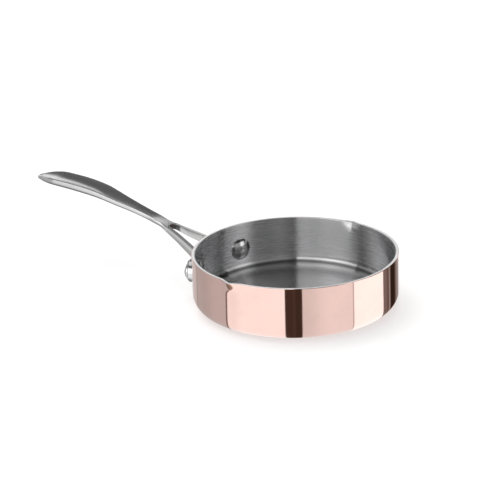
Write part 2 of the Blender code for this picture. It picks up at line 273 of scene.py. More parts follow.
class StudioSettings(bpy.types.PropertyGroup):
    floor: a_colour("Floor", "Colour of the studio floor", (0.95, 0.95, 0.95))
    lift: a_share("Floor Lift", "How far the floor is lifted to plain white in the picture", 0.5)
    dome: FloatProperty(
        name="Dome Light", description="Strength of the soft light from all round on matt surfaces",
        default=0.78, min=0.0,
    )
    distance: a_length("Camera Distance", "Distance of the camera from the pan's middle", 1.6)
    elevation: an_angle("Camera Elevation", "Height of the camera above the horizon", 21.07)
    turn: an_angle("Camera Turn", "Direction of the handle, from the camera's right", 145.5)
    lens: FloatProperty(
        name="Lens", description="Focal length in millimetres on a 36 mm sensor",
        default=198.75, subtype="DISTANCE_CAMERA",
    )


# Mesh tools


def object_from(bm, name, material):
    """Makes a bmesh an object in the scene."""
    mesh = bpy.data.meshes.new(name)
    bm.to_mesh(mesh)
    bm.free()
    mesh.materials.append(material)
    made = bpy.data.objects.new(name, mesh)
    bpy.context.scene.collection.objects.link(made)
    return made


def finish_piece(bm, name, node, material, sharp=35.0):
    """Makes a piece of a bmesh: closed, facing out, smooth but for its real edges."""
    bmesh.ops.remove_doubles(bm, verts=bm.verts, dist=MERGED)
    bmesh.ops.recalc_face_normals(bm, faces=bm.faces)
    if bm.calc_volume(signed=True) < 0.0:
        bmesh.ops.reverse_faces(bm, faces=bm.faces)
    piece = object_from(bm, name, material)
    piece.data.shade_smooth()
    if sharp:
        piece.data.set_sharp_from_angle(angle=math.radians(sharp))
    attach(piece, "root")
    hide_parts(node)
    return piece


def chain(bm, points):
    """Vertices in the XZ plane, joined by edges in their order."""
    verts = [bm.verts.new((across, 0.0, up)) for across, up in points]
    return verts + [bm.edges.new(pair) for pair in zip(verts, verts[1:])]


def arc(centre, radius, first, last, steps):
    """Points on an arc about centre, from the first angle to the last, in degrees."""
    points = []
    for step in range(steps + 1):
        angle = math.radians(first + (last - first) * step / steps)
        points.append((centre[0] + radius * math.cos(angle), centre[1] + radius * math.sin(angle)))
    return points


def ramp(value, low, high):
    """How far a value has come from low (0) to high (1)."""
    return min(max((value - low) / (high - low), 0.0), 1.0)


def cubic(first, last, start, end, t):
    """A smooth run from first (t 0) to last (t 1) that starts and ends at the given slopes."""
    return (
        first * (2 * t ** 3 - 3 * t ** 2 + 1) + last * (3 * t ** 2 - 2 * t ** 3)
        + start * (t ** 3 - 2 * t ** 2 + t) + end * (t ** 3 - t ** 2)
    )


# The pan's three plies


def ply_face(sizes, depth, edge, side):
    """One face of a ply, from the pan's axis out and up to the rim.

    The face lies depth inside the pan's outside, and bends over the rim with a rounding of
    edge, inwards on an outer face (side 1) and outwards on an inner one (side -1).
    """
    centre = (sizes.radius - sizes.corner, sizes.corner)
    wall = sizes.radius - depth
    lip_foot = sizes.height - sizes.lip_depth
    rows = [sizes.corner + (lip_foot - sizes.corner) * share for share in WALL_ROWS]
    rows += [sizes.height - sizes.lip_depth * share for share in LIP_ROWS]
    points = [(0.0, depth), (0.5 * centre[0], depth)]
    points += arc(centre, sizes.corner - depth, -90.0, 0.0, CORNER_STEPS)
    points += [(wall, up) for up in rows]
    rounding = (wall - side * edge, sizes.height - edge)
    return points + arc(rounding, edge, 90.0 - 90.0 * side, 90.0, RIM_STEPS)


def ply_points(sizes, outer, inner):
    """A ply's section: outside from centre to rim, over its edge, inside back to the centre."""
    outer_edge = sizes.rim_edge if outer == 0.0 else 0.5 * sizes.bond
    inner_edge = sizes.lining_edge if inner == sizes.wall else 0.5 * sizes.bond
    inside = ply_face(sizes, inner, inner_edge, -1.0)
    return ply_face(sizes, outer, outer_edge, 1.0) + inside[::-1]


def press_lips(bm, sizes):
    """Pinches both pouring lips into a turned ply, each narrower towards its lower end."""
    for vert in bm.verts:
        direction = math.atan2(vert.co.y, vert.co.x)
        if vert.co.y < 0.0:
            lip, trace, hollow = sizes.right_lip, sizes.lip_trace, RIGHT_HOLLOW
        else:
            lip, trace, hollow = sizes.left_lip, 0.0, LEFT_HOLLOW
        aside = direction - lip
        below = max(sizes.height - vert.co.z, 0.0)
        sunk = min(below / sizes.lip_depth, 1.0)
        turn = aside / (sizes.lip_spread * (1.0 - LIP_NARROWING * sunk))
        across = min(math.hypot(turn, LIP_POINT) - LIP_POINT, 1.0)
        share = (1.0 - trace) * (1.0 - sunk) ** 2 * (1.0 - across) ** hollow
        run = min(below / sizes.lip_run, 1.0)
        wide = min(abs(aside) / (TRACE_SPREAD * sizes.lip_spread), 1.0)
        share += trace * (1.0 - run) ** 2 * (1.0 - wide) ** RIGHT_HOLLOW
        outwards = Vector((math.cos(direction), math.sin(direction), 0.0))
        vert.co += outwards * sizes.lip_reach * share
        vert.co.z -= sizes.lip_dip * share


def build_ply(sizes, outer, inner):
    """Spins a ply's section about the pan's axis, with fine steps at the lips."""
    bm = bmesh.new()
    profile = chain(bm, ply_points(sizes, outer, inner))
    lip_arc = LIP_ARC * sizes.lip_spread
    start = sizes.left_lip - 0.5 * lip_arc
    back_arc = math.tau + sizes.right_lip - sizes.left_lip - lip_arc
    front_arc = math.tau - back_arc - 2.0 * lip_arc
    bmesh.ops.rotate(bm, verts=bm.verts, cent=(0.0, 0.0, 0.0), matrix=Matrix.Rotation(start, 3, "Z"))
    for angle, step in (
        (lip_arc, LIP_STEP), (back_arc, WALL_STEP), (lip_arc, LIP_STEP), (front_arc, WALL_STEP),
    ):
        spun = bmesh.ops.spin(
            bm, geom=profile, cent=(0.0, 0.0, 0.0), axis=UP, angle=angle,
            steps=math.ceil(math.degrees(angle) / step), use_merge=False, use_duplicate=False,
        )
        profile = spun["geom_last"]
    bmesh.ops.remove_doubles(bm, verts=bm.verts, dist=MERGED)
    press_lips(bm, sizes)
    return bm


# The rivets


def rivet_place(angle, height):
    """Puts local +Z along a rivet, away from the pan's axis."""
    lift = Matrix.Translation((0.0, 0.0, height))
    return lift @ Matrix.Rotation(angle, 4, "Z") @ Matrix.Rotation(math.radians(90.0), 4, "Y")


def dome_points(radius, seat, rise, edge, direction):
    """A domed head's outline from its crown to the foot of its edge, with a soft shoulder."""
    crown = rise - edge
    ball = (radius ** 2 + crown ** 2) / (2.0 * crown)
    spread = math.asin(radius / ball)
    points = []
    for step in range(DOME_STEPS + 1):
        angle = spread * min(step / DOME_STEPS, DOME_SHARE)
        points.append((ball * math.sin(angle), rise - ball * (1.0 - math.cos(angle))))
    dome_foot = points[-1][0]
    points += [
        (radius - 0.3 * (radius - dome_foot), 1.07 * edge),
        (radius, 0.65 * edge),
        (radius, 0.12 * edge),
        (radius - 0.12 * edge, 0.0),
    ]
    return [(across, seat + direction * up) for across, up in points]


def build_rivet(sizes, body, handle, side):
    """One closed rivet: outer head, shank and inner head, turned in one piece."""
    pad_face = body.radius + handle.pad_thickness + handle.seat
    wall_face = body.radius - body.wall - HEAD_GAP
    outer = dome_points(sizes.outer_radius, pad_face, sizes.rise, sizes.edge, 1.0)
    inner = dome_points(sizes.inner_radius, wall_face, sizes.rise, sizes.edge, -1.0)
    bm = bmesh.new()
    profile = chain(bm, outer + [(sizes.shank, pad_face), (sizes.shank, wall_face)] + inner[::-1])
    bmesh.ops.spin(
        bm, geom=profile, cent=(0.0, 0.0, 0.0), axis=UP, angle=math.tau, steps=RIVET_STEPS,
        use_merge=True, use_duplicate=False,
    )
    bmesh.ops.remove_doubles(bm, verts=bm.verts, dist=MERGED)
    bmesh.ops.transform(bm, verts=bm.verts, matrix=rivet_place(side * sizes.angle, sizes.height))
    return bm


# The handle


def smooth_between(rows, x):
    """Every value of a table of rows at x, read from a smooth curve through the rows."""
    index = max(i for i in range(len(rows) - 1) if rows[i][0] <= x or i == 0)
    left, right = rows[index], rows[index + 1]
    before = rows[max(index - 1, 0)]
    after = rows[min(index + 2, len(rows) - 1)]
    span = right[0] - left[0]
    values = []
    for column in range(1, len(left)):
        start = span * ((right[column] - before[column]) / (right[0] - before[0]))
        end = span * ((after[column] - left[column]) / (after[0] - left[0]))
        values.append(cubic(left[column], right[column], start, end, (x - left[0]) / span))
    return values


def half_section(width, height, thickness, dish):
    """Half of a grip section, as (sideways, up) points."""
    return [
        (across * width / 2.0, height + dished * dish + down * thickness)
        for across, dished, down in SECTION_SHAPE
    ]


def grip_half(x):
    """Half of the grip's section at x."""
    return half_section(*(value * MM for value in smooth_between(GRIP_SECTIONS, x / MM)))


def tip_half(share, reach):
    """The x of a section between the grip's last one and its tip, and half of the section."""
    first, width, height, thickness, dish = (value * MM for value in GRIP_SECTIONS[-1])
    narrow = (1.0 - share ** TIP_NARROWING) ** TIP_BLUNTNESS
    thin = TIP_THICKNESS + (thickness - TIP_THICKNESS) * (1.0 - share ** 2)
    height -= TIP_DROP * share ** TIP_BEND
    return first + (reach - first) * share, half_section(width * narrow, height, thin, dish * narrow)


def leg_line(t):
    """A point on a leg's top line and the line's heading there, from foot (0) to head (1)."""
    run = LEG_HEAD.x - LEG_FOOT.x
    start = LEG_FOOT_HEADING * run
    end = LEG_HEAD_HEADING * run
    heading = (
        (LEG_FOOT - LEG_HEAD) * (6 * t ** 2 - 6 * t) + start * (3 * t ** 2 - 4 * t + 1)
        + end * (3 * t ** 2 - 2 * t)
    )
    return cubic(LEG_FOOT, LEG_HEAD, start, end, t), heading


def leg_at(sizes, x):
    """A leg's top middle, sideways direction, width and depth where its line passes x."""
    t = (x - LEG_FOOT.x) / (LEG_HEAD.x - LEG_FOOT.x)
    top, heading = leg_line(t)
    across = Vector((-heading.y, heading.x, 0.0)).normalized()
    width = sizes.foot_width + (sizes.head_width - sizes.foot_width) * t
    depth = sizes.foot_depth + (sizes.head_depth - sizes.foot_depth) * t
    return top, across, width, depth


def leg_points(sizes, x, inner=None):
    """A leg's closed ring at x: round its top, outside and bottom, then up its inside."""
    top, across, width, depth = leg_at(sizes, x)
    left = -width / 2.0 if inner is None else inner - top.y
    span = width / 2.0 - left
    points = [top + across * (left + share * span) + UP * depth * down for share, down in LEG_OUTSIDE]
    for share in reversed(LEG_INSIDE):
        points.append(top + across * left - UP * depth * share)
    return points


def neck_points(sizes, x, share):
    """Half of the neck's ring at x. share goes from a plain grip section (0) to two legs (1)."""
    top, _, width, depth = leg_at(sizes, x)
    outer = top.y + width / 2.0
    points = []
    for (sideways, up), (legs_sideways, legs_down) in zip(grip_half(x), LEG_OUTSIDE):
        legs_up = top.z + depth * legs_down
        y = sideways + (legs_sideways * outer - sideways) * share
        points.append(Vector((x, y, up + (legs_up - up) * share)))
    return points


def seat_on_wall(point, heading, radius):
    """Slides a point along a heading in plan until it lies on the wall's seat."""
    flat = Vector((heading.x, heading.y)).normalized()
    place = Vector((point.x, point.y))
    along = place.dot(flat)
    reach = along - math.sqrt(max(along ** 2 - place.length_squared + radius ** 2, 0.0))
    return Vector((point.x - flat.x * reach, point.y - flat.y * reach, point.z))


def bridge_rows(bm, first, second):
    """Joins two rows of equally many vertices with a band of quads."""
    for index in range(len(first) - 1):
        bm.faces.new((first[index], first[index + 1], second[index + 1], second[index]))


def crease_run(bm, layer, verts, weight):
    """Creases the edges along a row of vertices."""
    for pair in zip(verts, verts[1:]):
        bm.edges.get(pair)[layer] = weight


def limit_place(vert, layer):
    """Where a cage vertex ends up on the smooth surface."""
    creased = [edge for edge in vert.link_edges if edge[layer] > 0.0]
    if len(creased) > 2:
        return vert.co.copy()
    if len(creased) == 2:
        ends = [edge.other_vert(vert).co for edge in creased]
        return (ends[0] + ends[1] + vert.co * 4.0) / 6.0
    near = [edge.other_vert(vert) for edge in vert.link_edges]
    count = len(near)
    total = vert.co * count ** 2
    for other in near:
        total += other.co * 4.0
    for face in vert.link_faces:
        others = [corner for corner in face.verts if corner is not vert]
        far = [corner for corner in others if corner not in near] or others
        total += sum((corner.co for corner in far), Vector()) / len(far)
    return total / (count * (count + 5))


def settle_cage(bm, layer, rounds=10, pull=0.8):
    """Moves a cage's vertices until its smooth surface passes through their first places."""
    wanted = {vert: vert.co.copy() for vert in bm.verts}
    for _ in range(rounds):
        moves = {vert: place - limit_place(vert, layer) for vert, place in wanted.items()}
        for vert, move in moves.items():
            vert.co += move * pull


def loft_grip(bm, crease, sizes):
    """Half of the cage from the tip to the crotch. Returns its last row of vertices."""
    rows = []
    for share in reversed(TIP_SHARES):
        x, half = tip_half(share, sizes.reach)
        rows.append([bm.verts.new((x, y, z)) for y, z in half])
    for x in reversed(GRIP_STATIONS):
        rows.append([bm.verts.new((x * MM, y, z)) for y, z in grip_half(x * MM)])
    crotch = sizes.crotch_centre + sizes.crotch_radius
    for x, share in (*NECK_STATIONS, (crotch, 1.0)):
        rows.append([bm.verts.new(point) for point in neck_points(sizes, x, share)])
    for first, second in zip(rows, rows[1:]):
        bridge_rows(bm, first, second)
        crease_run(bm, crease, (first[SHOULDER], second[SHOULDER]), SHOULDER_CREASE)
        crease_run(bm, crease, (first[TOP_EDGE], second[TOP_EDGE]), TOP_EDGE_CREASE)

    # The tip's own row is closed across, from the dish to the underside
    tip = rows[0]
    for index in range(3):
        bm.faces.new((tip[index + 1], tip[index], tip[8 - index], tip[7 - index]))
    bm.faces.new((tip[3], tip[5], tip[4]))
    return rows[-1]


def loft_leg(bm, crease, sizes, seat, neck):
    """A leg from the neck's last row round the crotch and down to its seat on the wall."""
    low, high = neck[-1].co, neck[0].co
    ring = neck + [bm.verts.new(low.lerp(high, 1.0 - share)) for share in reversed(LEG_INSIDE)]
    rings = []
    for turn in (math.radians(45.0), math.radians(90.0)):
        x = sizes.crotch_centre + sizes.crotch_radius * math.cos(turn)
        rings.append(leg_points(sizes, x, sizes.crotch_radius * math.sin(turn)))
    for x in LEG_STATIONS:
        rings.append(leg_points(sizes, x * MM))
    heading = leg_line(FOOT_SLIDE)[1]
    foot = leg_points(sizes, FOOT_STATION * MM)
    rings.append([seat_on_wall(point, heading, seat) for point in foot])
    for points in rings:
        fresh = [bm.verts.new(point) for point in points]
        bridge_rows(bm, ring + ring[:1], fresh + fresh[:1])
        for corner in LEG_EDGES:
            crease_run(bm, crease, (ring[corner], fresh[corner]), LEG_CREASE)
        ring = fresh
    bm.faces.new(ring)
    crease_run(bm, crease, ring + ring[:1], FOOT_CREASE)


def build_casting(sizes, body):
    """The grip, neck, crotch and legs as one smooth cage, mirrored about the handle's plane."""
    bm = bmesh.new()
    crease = bm.edges.layers.float.new("crease_edge")
    neck = loft_grip(bm, crease, sizes)
    loft_leg(bm, crease, sizes, body.radius + sizes.seat, neck)
    for vert in bm.verts:
        if abs(vert.co.y) < MERGED:
            vert.co.y = 0.0
    half = bm.verts[:] + bm.edges[:] + bm.faces[:]
    bmesh.ops.mirror(bm, geom=half, matrix=Matrix(), merge_dist=MERGED, axis="Y")
    bmesh.ops.remove_doubles(bm, verts=bm.verts, dist=MERGED)
    bmesh.ops.recalc_face_normals(bm, faces=bm.faces)
    settle_cage(bm, crease)
    return bm


def pad_outline(sizes, side):
    """The pad's outline across the rivet's axis: a round end drawn down to a slimmer root."""
    root = Vector((sizes.root_rise, -side * sizes.root_reach))
    lean = math.asin((sizes.pad_radius - sizes.root_radius) / root.length)
    towards = math.atan2(root.y, root.x)
    quarter = math.radians(90.0)
    points = []
    for centre, radius, first, last in (
        (Vector((0.0, 0.0)), sizes.pad_radius, quarter - lean, math.tau - quarter + lean),
        (root, sizes.root_radius, lean - quarter, quarter - lean),
    ):
        steps = round(PAD_STEPS * (last - first) / math.tau)
        for step in range(steps + 1):
            angle = towards + first + (last - first) * step / steps
            points.append(centre + Vector((math.cos(angle), math.sin(angle))) * radius)
    return points


def build_pad(sizes, body, rivets, side):
    """A pad: its outline raised off the wall's curve, with a rounded outer edge."""
    bm = bmesh.new()
    seat = body.radius + sizes.seat
    low = []
    for point in pad_outline(sizes, side):
        low.append(bm.verts.new((-point.x, point.y, math.sqrt(seat ** 2 - point.y ** 2))))
    base = bm.faces.new(low)
    raised = bmesh.ops.extrude_face_region(bm, geom=[base])["geom"]
    top = [item for item in raised if isinstance(item, bmesh.types.BMVert)]
    for vert in top:
        vert.co.z = body.radius + sizes.pad_thickness
    rim = [edge for edge in bm.edges if all(vert in top for vert in edge.verts)]
    bmesh.ops.bevel(
        bm, geom=rim, offset=sizes.pad_edge, segments=PAD_EDGE_STEPS, profile=0.5, affect="EDGES",
        material=-1,
    )
    bmesh.ops.transform(bm, verts=bm.verts, matrix=rivet_place(side * rivets.angle, rivets.height))
    bmesh.ops.recalc_face_normals(bm, faces=bm.faces)
    return bm


def smooth_casting(casting):
    """The casting's cage made smooth, as a bmesh."""
    smooth = casting.modifiers.new("Smooth Casting", "SUBSURF")
    smooth.levels = CASTING_LEVELS
    smooth.render_levels = CASTING_LEVELS
    graph = bpy.context.evaluated_depsgraph_get()
    baked = bpy.data.meshes.new_from_object(casting.evaluated_get(graph), depsgraph=graph)
    casting.modifiers.clear()
    bm = bmesh.new()
    bm.from_mesh(baked)
    bpy.data.meshes.remove(baked)
    return bm


def mark_dull_and_shaded(mesh, sizes):
    """Marks where the casting is made duller and painted darker as shade: below, in the crotch and partly
    between the legs.
    """
    marks = mesh.attributes.new("dull_and_shaded", "FLOAT", "POINT")
    centre, radius = sizes.crotch_centre, sizes.crotch_radius
    for vert in mesh.vertices:
        x, y = vert.co.x, vert.co.y
        below = ramp(-vert.normal.z, *DULL_SHADE_BELOW)
        upright = ramp(abs(vert.normal.z), *DULL_SHADE_UPRIGHT)
        near_crotch = ramp(math.hypot(x - centre, y) / radius, *DULL_SHADE_CROTCH)
        inwards = ramp(-vert.normal.y * math.copysign(1.0, y), 0.0, 1.0)
        past_crotch = ramp(x, centre, centre - radius)
        between = DULL_SHADE_BETWEEN * min(inwards, past_crotch)
        marks.data[vert.index].value = max(below, min(upright, near_crotch), between)


# Node tools


def add_node(tree, kind, inputs=None, **settings):
    """A node with its settings, each input either linked to a socket or set to a value."""
    made = tree.nodes.new(kind)
    for name, value in settings.items():
        setattr(made, name, value)
    for name, value in (inputs or {}).items():
        if isinstance(value, bpy.types.NodeSocket):
            tree.links.new(value, made.inputs[name])
        else:
            made.inputs[name].default_value = value
    return made


def maths(tree, operation, *values, clamp=False):
    made = add_node(tree, "ShaderNodeMath", dict(enumerate(values)), operation=operation, use_clamp=clamp)
    return made.outputs[0]


def vector_maths(tree, operation, *values):
    made = add_node(tree, "ShaderNodeVectorMath", dict(enumerate(values)), operation=operation)
    return made.outputs["Value" if operation in ("DOT_PRODUCT", "LENGTH") else "Vector"]


def parts_of(tree, vector):
    """A vector's X, Y and Z sockets."""
    return add_node(tree, "ShaderNodeSeparateXYZ", {0: vector}).outputs


def vector_of(tree, x, y, z=0.0):
    return add_node(tree, "ShaderNodeCombineXYZ", {0: x, 1: y, 2: z}).outputs[0]


def smooth_step(tree, value, low, high):
    made = add_node(
        tree, "ShaderNodeMapRange",
        {"Value": value, "From Min": low, "From Max": high, "To Min": 0.0, "To Max": 1.0},
        interpolation_type="SMOOTHSTEP", clamp=True,
    )
    return made.outputs["Result"]


def mix_values(tree, share, first, second):
    made = add_node(tree, "ShaderNodeMix", {0: share, 2: first, 3: second}, data_type="FLOAT")
    return made.outputs[0]


def mix_colours(tree, share, first, second):
    made = add_node(tree, "ShaderNodeMix", {0: share, 6: first, 7: second}, data_type="RGBA")
    return made.outputs[2]


def noise(tree, detail, roughness, dimensions="3D", **places):
    """A noise pattern's value. places are its inputs Vector, Scale and, in four dimensions, W."""
    inputs = {"Detail": detail, "Roughness": roughness, **places}
    return add_node(tree, "ShaderNodeTexNoise", inputs, noise_dimensions=dimensions).outputs[0]


def new_group(name, inputs, outputs):
    """A shader node group with its sockets, and its two end nodes."""
    group = bpy.data.node_groups.new(name, "ShaderNodeTree")
    for label, kind, default in inputs:
        socket = group.interface.new_socket(label, in_out="INPUT", socket_type=kind)
        if default is not None:
            socket.default_value = default
    for label in outputs:
        group.interface.new_socket(label, in_out="OUTPUT", socket_type="NodeSocketFloat")
    return group, group.nodes.new("NodeGroupInput"), group.nodes.new("NodeGroupOutput")


def empty_tree(holder):
    """Turns on the nodes of a material or world, and clears them."""
    holder.use_nodes = True
    holder.node_tree.nodes.clear()
    return holder.node_tree


# Metal finishes

# The radius at which a brush stroke has its given length, and how slowly the broad bands
# change beside the lines, along the strokes and across them
BRUSHED_RADIUS = 58.0 * MM
CALM_ALONG = 0.35
CALM_ACROSS = 0.09

# The painted shade in the pinch under a lip: its depth below the rim as a share of the lip's
# depth, the distances from its middle over which it fades in, and how ragged its edge is
LIP_SHADE_DEPTH = 0.36
LIP_SHADE_EDGE = (2.1 * MM, 0.9 * MM)
LIP_SHADE_RAGGED = 1.6 * MM
LIP_SHADE_COLOUR = (0.26, 0.15, 0.1, 1.0)

# The casting's colour where it is painted darker as shade
CASTING_SHADE = (0.13, 0.13, 0.13, 1.0)

# Where the lining is rubbed smoother and painted darker as shade: how far below the top of
# its corner and how far above its floor this fades in
RUBBED_SHADED_BELOW = (0.8 * MM, 2.2 * MM)
RUBBED_SHADED_ABOVE = (0.6 * MM, 2.2 * MM)


def brush_lines_group():
    """Fine lines brushed round the pan's axis, on the wall and on the floor alike."""
    group, given, result = new_group(
        "Brush Lines Round an Axis",
        (
            ("Position", "NodeSocketVector", None),
            ("Lines per Metre", "NodeSocketFloat", 4000.0),
            ("Stroke Length", "NodeSocketFloat", 0.03),
        ),
        ("Lines", "Bands"),
    )
    place = parts_of(group, given.outputs["Position"])
    flat = vector_of(group, place["X"], place["Y"])
    spread = maths(group, "DIVIDE", BRUSHED_RADIUS, given.outputs["Stroke Length"])
    heading = vector_maths(group, "NORMALIZE", flat)
    scaled = add_node(
        group, "ShaderNodeVectorMath", {0: heading, "Scale": spread}, operation="SCALE",
    ).outputs["Vector"]
    rise = maths(group, "MULTIPLY", place["Z"], given.outputs["Lines per Metre"])
    reach = vector_maths(group, "LENGTH", flat)
    reach = maths(group, "MULTIPLY", reach, given.outputs["Lines per Metre"])
    around = parts_of(group, scaled)
    where = vector_of(group, around["X"], around["Y"], rise)
    lines = noise(group, 2.0, 0.6, "4D", Vector=where, W=reach, Scale=1.0)
    calm = vector_maths(group, "MULTIPLY", where, (CALM_ALONG, CALM_ALONG, CALM_ACROSS))
    slow = maths(group, "MULTIPLY", reach, CALM_ACROSS)
    broad = noise(group, 2.0, 0.5, "4D", Vector=calm, W=slow, Scale=1.0)
    group.links.new(lines, result.inputs["Lines"])
    group.links.new(broad, result.inputs["Bands"])
    return group


def polish_haze_group():
    """What buffing leaves on polished metal: faint haze, hairlines and a slow waviness."""
    group, given, result = new_group(
        "Polishing Haze",
        (
            ("Position", "NodeSocketVector", None),
            ("Haze Size", "NodeSocketFloat", 60.0),
            ("Hairline Size", "NodeSocketFloat", 900.0),
            ("Wave Size", "NodeSocketFloat", 45.0),
        ),
        ("Haze", "Hairlines", "Waves"),
    )
    place = given.outputs["Position"]
    stretched = vector_maths(group, "MULTIPLY", place, (1.0, 1.0, 7.0))
    haze = noise(group, 4.0, 0.6, Vector=place, Scale=given.outputs["Haze Size"])
    hairs = noise(group, 3.0, 0.7, Vector=stretched, Scale=given.outputs["Hairline Size"])
    waves = noise(group, 1.0, 0.4, Vector=place, Scale=given.outputs["Wave Size"])
    group.links.new(smooth_step(group, haze, 0.35, 0.75), result.inputs["Haze"])
    group.links.new(smooth_step(group, hairs, 0.45, 0.8), result.inputs["Hairlines"])
    group.links.new(waves, result.inputs["Waves"])
    return group


def shader_groups():
    """The shared shader groups, made once."""
    if "Polishing Haze" not in bpy.data.node_groups:
        polish_haze_group()
        brush_lines_group()
    return {
        "haze": bpy.data.node_groups["Polishing Haze"],
        "brush": bpy.data.node_groups["Brush Lines Round an Axis"],
    }


def new_metal(name, shader_values):
    """A bare metal material: its tree, its shader and its object coordinates."""
    material = bpy.data.materials.new(name)
    tree = empty_tree(material)
    shader = add_node(tree, "ShaderNodeBsdfPrincipled", {"Metallic": 1.0, **shader_values})
    add_node(tree, "ShaderNodeOutputMaterial", {"Surface": shader.outputs[0]})
    place = add_node(tree, "ShaderNodeTexCoord").outputs["Object"]
    return material, tree, shader, place


def with_alpha(colour, factor=1.0):
    """A colour made darker or lighter by a factor, with the alpha that a socket wants."""
    return (*(channel * factor for channel in colour), 1.0)


def add_bump(tree, shader, height, strength, distance):
    inputs = {"Height": height, "Strength": strength, "Distance": distance}
    normal = add_node(tree, "ShaderNodeBump", inputs).outputs[0]
    tree.links.new(normal, shader.inputs["Normal"])


def polished_metal(name, colour, groups, roughness, haze_share, wave_height):
    """A buffed metal whose haze and hairlines change its colour, gloss and surface a little."""
    material, tree, shader, place = new_metal(name, {})
    haze = add_node(tree, "ShaderNodeGroup", {"Position": place}, node_tree=groups["haze"])
    tone = mix_colours(tree, haze.outputs["Haze"], with_alpha(colour), with_alpha(colour, 0.95))
    tree.links.new(tone, shader.inputs["Base Color"])
    marks = maths(tree, "MULTIPLY", haze.outputs["Hairlines"], haze_share)
    cloud = maths(tree, "MULTIPLY_ADD", haze.outputs["Haze"], haze_share, roughness)
    tree.links.new(maths(tree, "ADD", marks, cloud), shader.inputs["Roughness"])
    add_bump(tree, shader, haze.outputs["Waves"], strength=1.0, distance=wave_height)
    return material, tree, place


def paint_shade_and_gloss(tree, mask, colour, roughness):
    """Lets a mask bring another tone, a darker one painted as shade, and another gloss into a material.
    """
    shader = tree.nodes["Principled BSDF"]
    for name, mix, value in (("Base Color", mix_colours, colour), ("Roughness", mix_values, roughness)):
        clean = shader.inputs[name].links[0].from_socket
        tree.links.new(mix(tree, mask, clean, value), shader.inputs[name])


def polished_copper(name, colour, groups, body):
    """Mirror copper with a brown patch of painted shade in the pinch under each lip."""
    material, tree, place = polished_metal(
        name, colour, groups, roughness=0.035, haze_share=0.02, wave_height=0.03 * MM,
    )
    rough_edge = noise(tree, 2.0, 0.5, Vector=place, Scale=450.0)
    # A brown patch of painted shade in the pinch under each lip, also a little rougher
    lip_shade = 0.0
    for angle in (body.left_lip, body.right_lip):
        reach = body.radius + 0.5 * body.lip_reach
        height = body.height - LIP_SHADE_DEPTH * body.lip_depth
        centre = (reach * math.cos(angle), reach * math.sin(angle), height)
        away = vector_maths(tree, "LENGTH", vector_maths(tree, "SUBTRACT", place, centre))
        uneven = maths(tree, "MULTIPLY_ADD", rough_edge, -LIP_SHADE_RAGGED, away)
        lip_shade = maths(tree, "MAXIMUM", lip_shade, smooth_step(tree, uneven, *LIP_SHADE_EDGE))
    paint_shade_and_gloss(tree, lip_shade, LIP_SHADE_COLOUR, roughness=0.16)
    return material


def cast_steel(name, colour, groups):
    """Polished cast steel, made satin and painted darker as shade where the mesh's mark says so."""
    material, tree, _ = polished_metal(
        name, colour, groups, roughness=0.15, haze_share=0.07, wave_height=0.04 * MM,
    )
    # The mesh's mark paints shade below, in the crotch and between the legs, and makes them satin
    dull_and_shaded = add_node(
        tree, "ShaderNodeAttribute", attribute_name="dull_and_shaded", attribute_type="GEOMETRY",
    )
    paint_shade_and_gloss(tree, dull_and_shaded.outputs["Fac"], CASTING_SHADE, roughness=0.4)
    return material


def rivet_steel(name, colour, groups, body):
    """Polished rivet steel, glossier and painted darker as shade on the heads inside the pan."""
    material, tree, place = polished_metal(
        name, colour, groups, roughness=0.2, haze_share=0.04, wave_height=0.03 * MM,
    )
    # The heads inside the pan are painted darker as shade, and made glossier
    from_axis = vector_maths(tree, "LENGTH", vector_maths(tree, "MULTIPLY", place, (1.0, 1.0, 0.0)))
    inside = smooth_step(tree, from_axis, body.radius, body.radius - body.wall)
    paint_shade_and_gloss(tree, inside, with_alpha(colour, 0.8), roughness=0.08)
    return material


def brushed_metal(name, groups, lines_per_metre, shader_values):
    """A metal brushed round the pan's axis, whose highlights run across the brush lines."""
    material, tree, shader, place = new_metal(name, {"Anisotropic Rotation": 0.25, **shader_values})
    lines = add_node(
        tree, "ShaderNodeGroup", {"Position": place, "Lines per Metre": lines_per_metre},
        node_tree=groups["brush"],
    )
    round_axis = vector_maths(tree, "CROSS_PRODUCT", tuple(UP), place)
    tree.links.new(vector_maths(tree, "NORMALIZE", round_axis), shader.inputs["Tangent"])
    return material, tree, shader, place, lines.outputs


def brushed_lining(name, colour, groups, floor_height, corner):
    """Stainless steel brushed round the pan's axis, rubbed smoother in its corner and painted darker
    there as shade.
    """
    material, tree, shader, place, lines = brushed_metal(name, groups, 4000.0, {"Anisotropic": 1.0})
    height = parts_of(tree, place)["Z"]
    under = smooth_step(tree, height, *(corner - below for below in RUBBED_SHADED_BELOW))
    over = smooth_step(tree, height, *(floor_height + above for above in RUBBED_SHADED_ABOVE))
    rubbed_and_shaded = maths(tree, "MULTIPLY", under, over)
    marks = mix_values(tree, 0.35, lines["Lines"], lines["Bands"])

    # The troughs and crests of the brushing, each as brushed and where it is rubbed smoother and painted
    # darker as shade
    dark = mix_colours(tree, rubbed_and_shaded, with_alpha(colour, 0.95), with_alpha(colour, 0.68))
    light = mix_colours(tree, rubbed_and_shaded, with_alpha(colour, 1.05), with_alpha(colour, 0.76))
    tone = mix_colours(tree, smooth_step(tree, marks, 0.35, 0.65), dark, light)
    tree.links.new(tone, shader.inputs["Base Color"])
    wall_or_floor = mix_values(tree, under, 0.25, 0.2)
    gloss = mix_values(tree, rubbed_and_shaded, wall_or_floor, 0.14)
    tree.links.new(maths(tree, "MULTIPLY_ADD", marks, 0.04, gloss), shader.inputs["Roughness"])
    add_bump(tree, shader, lines["Lines"], strength=0.12, distance=0.01 * MM)
    return material


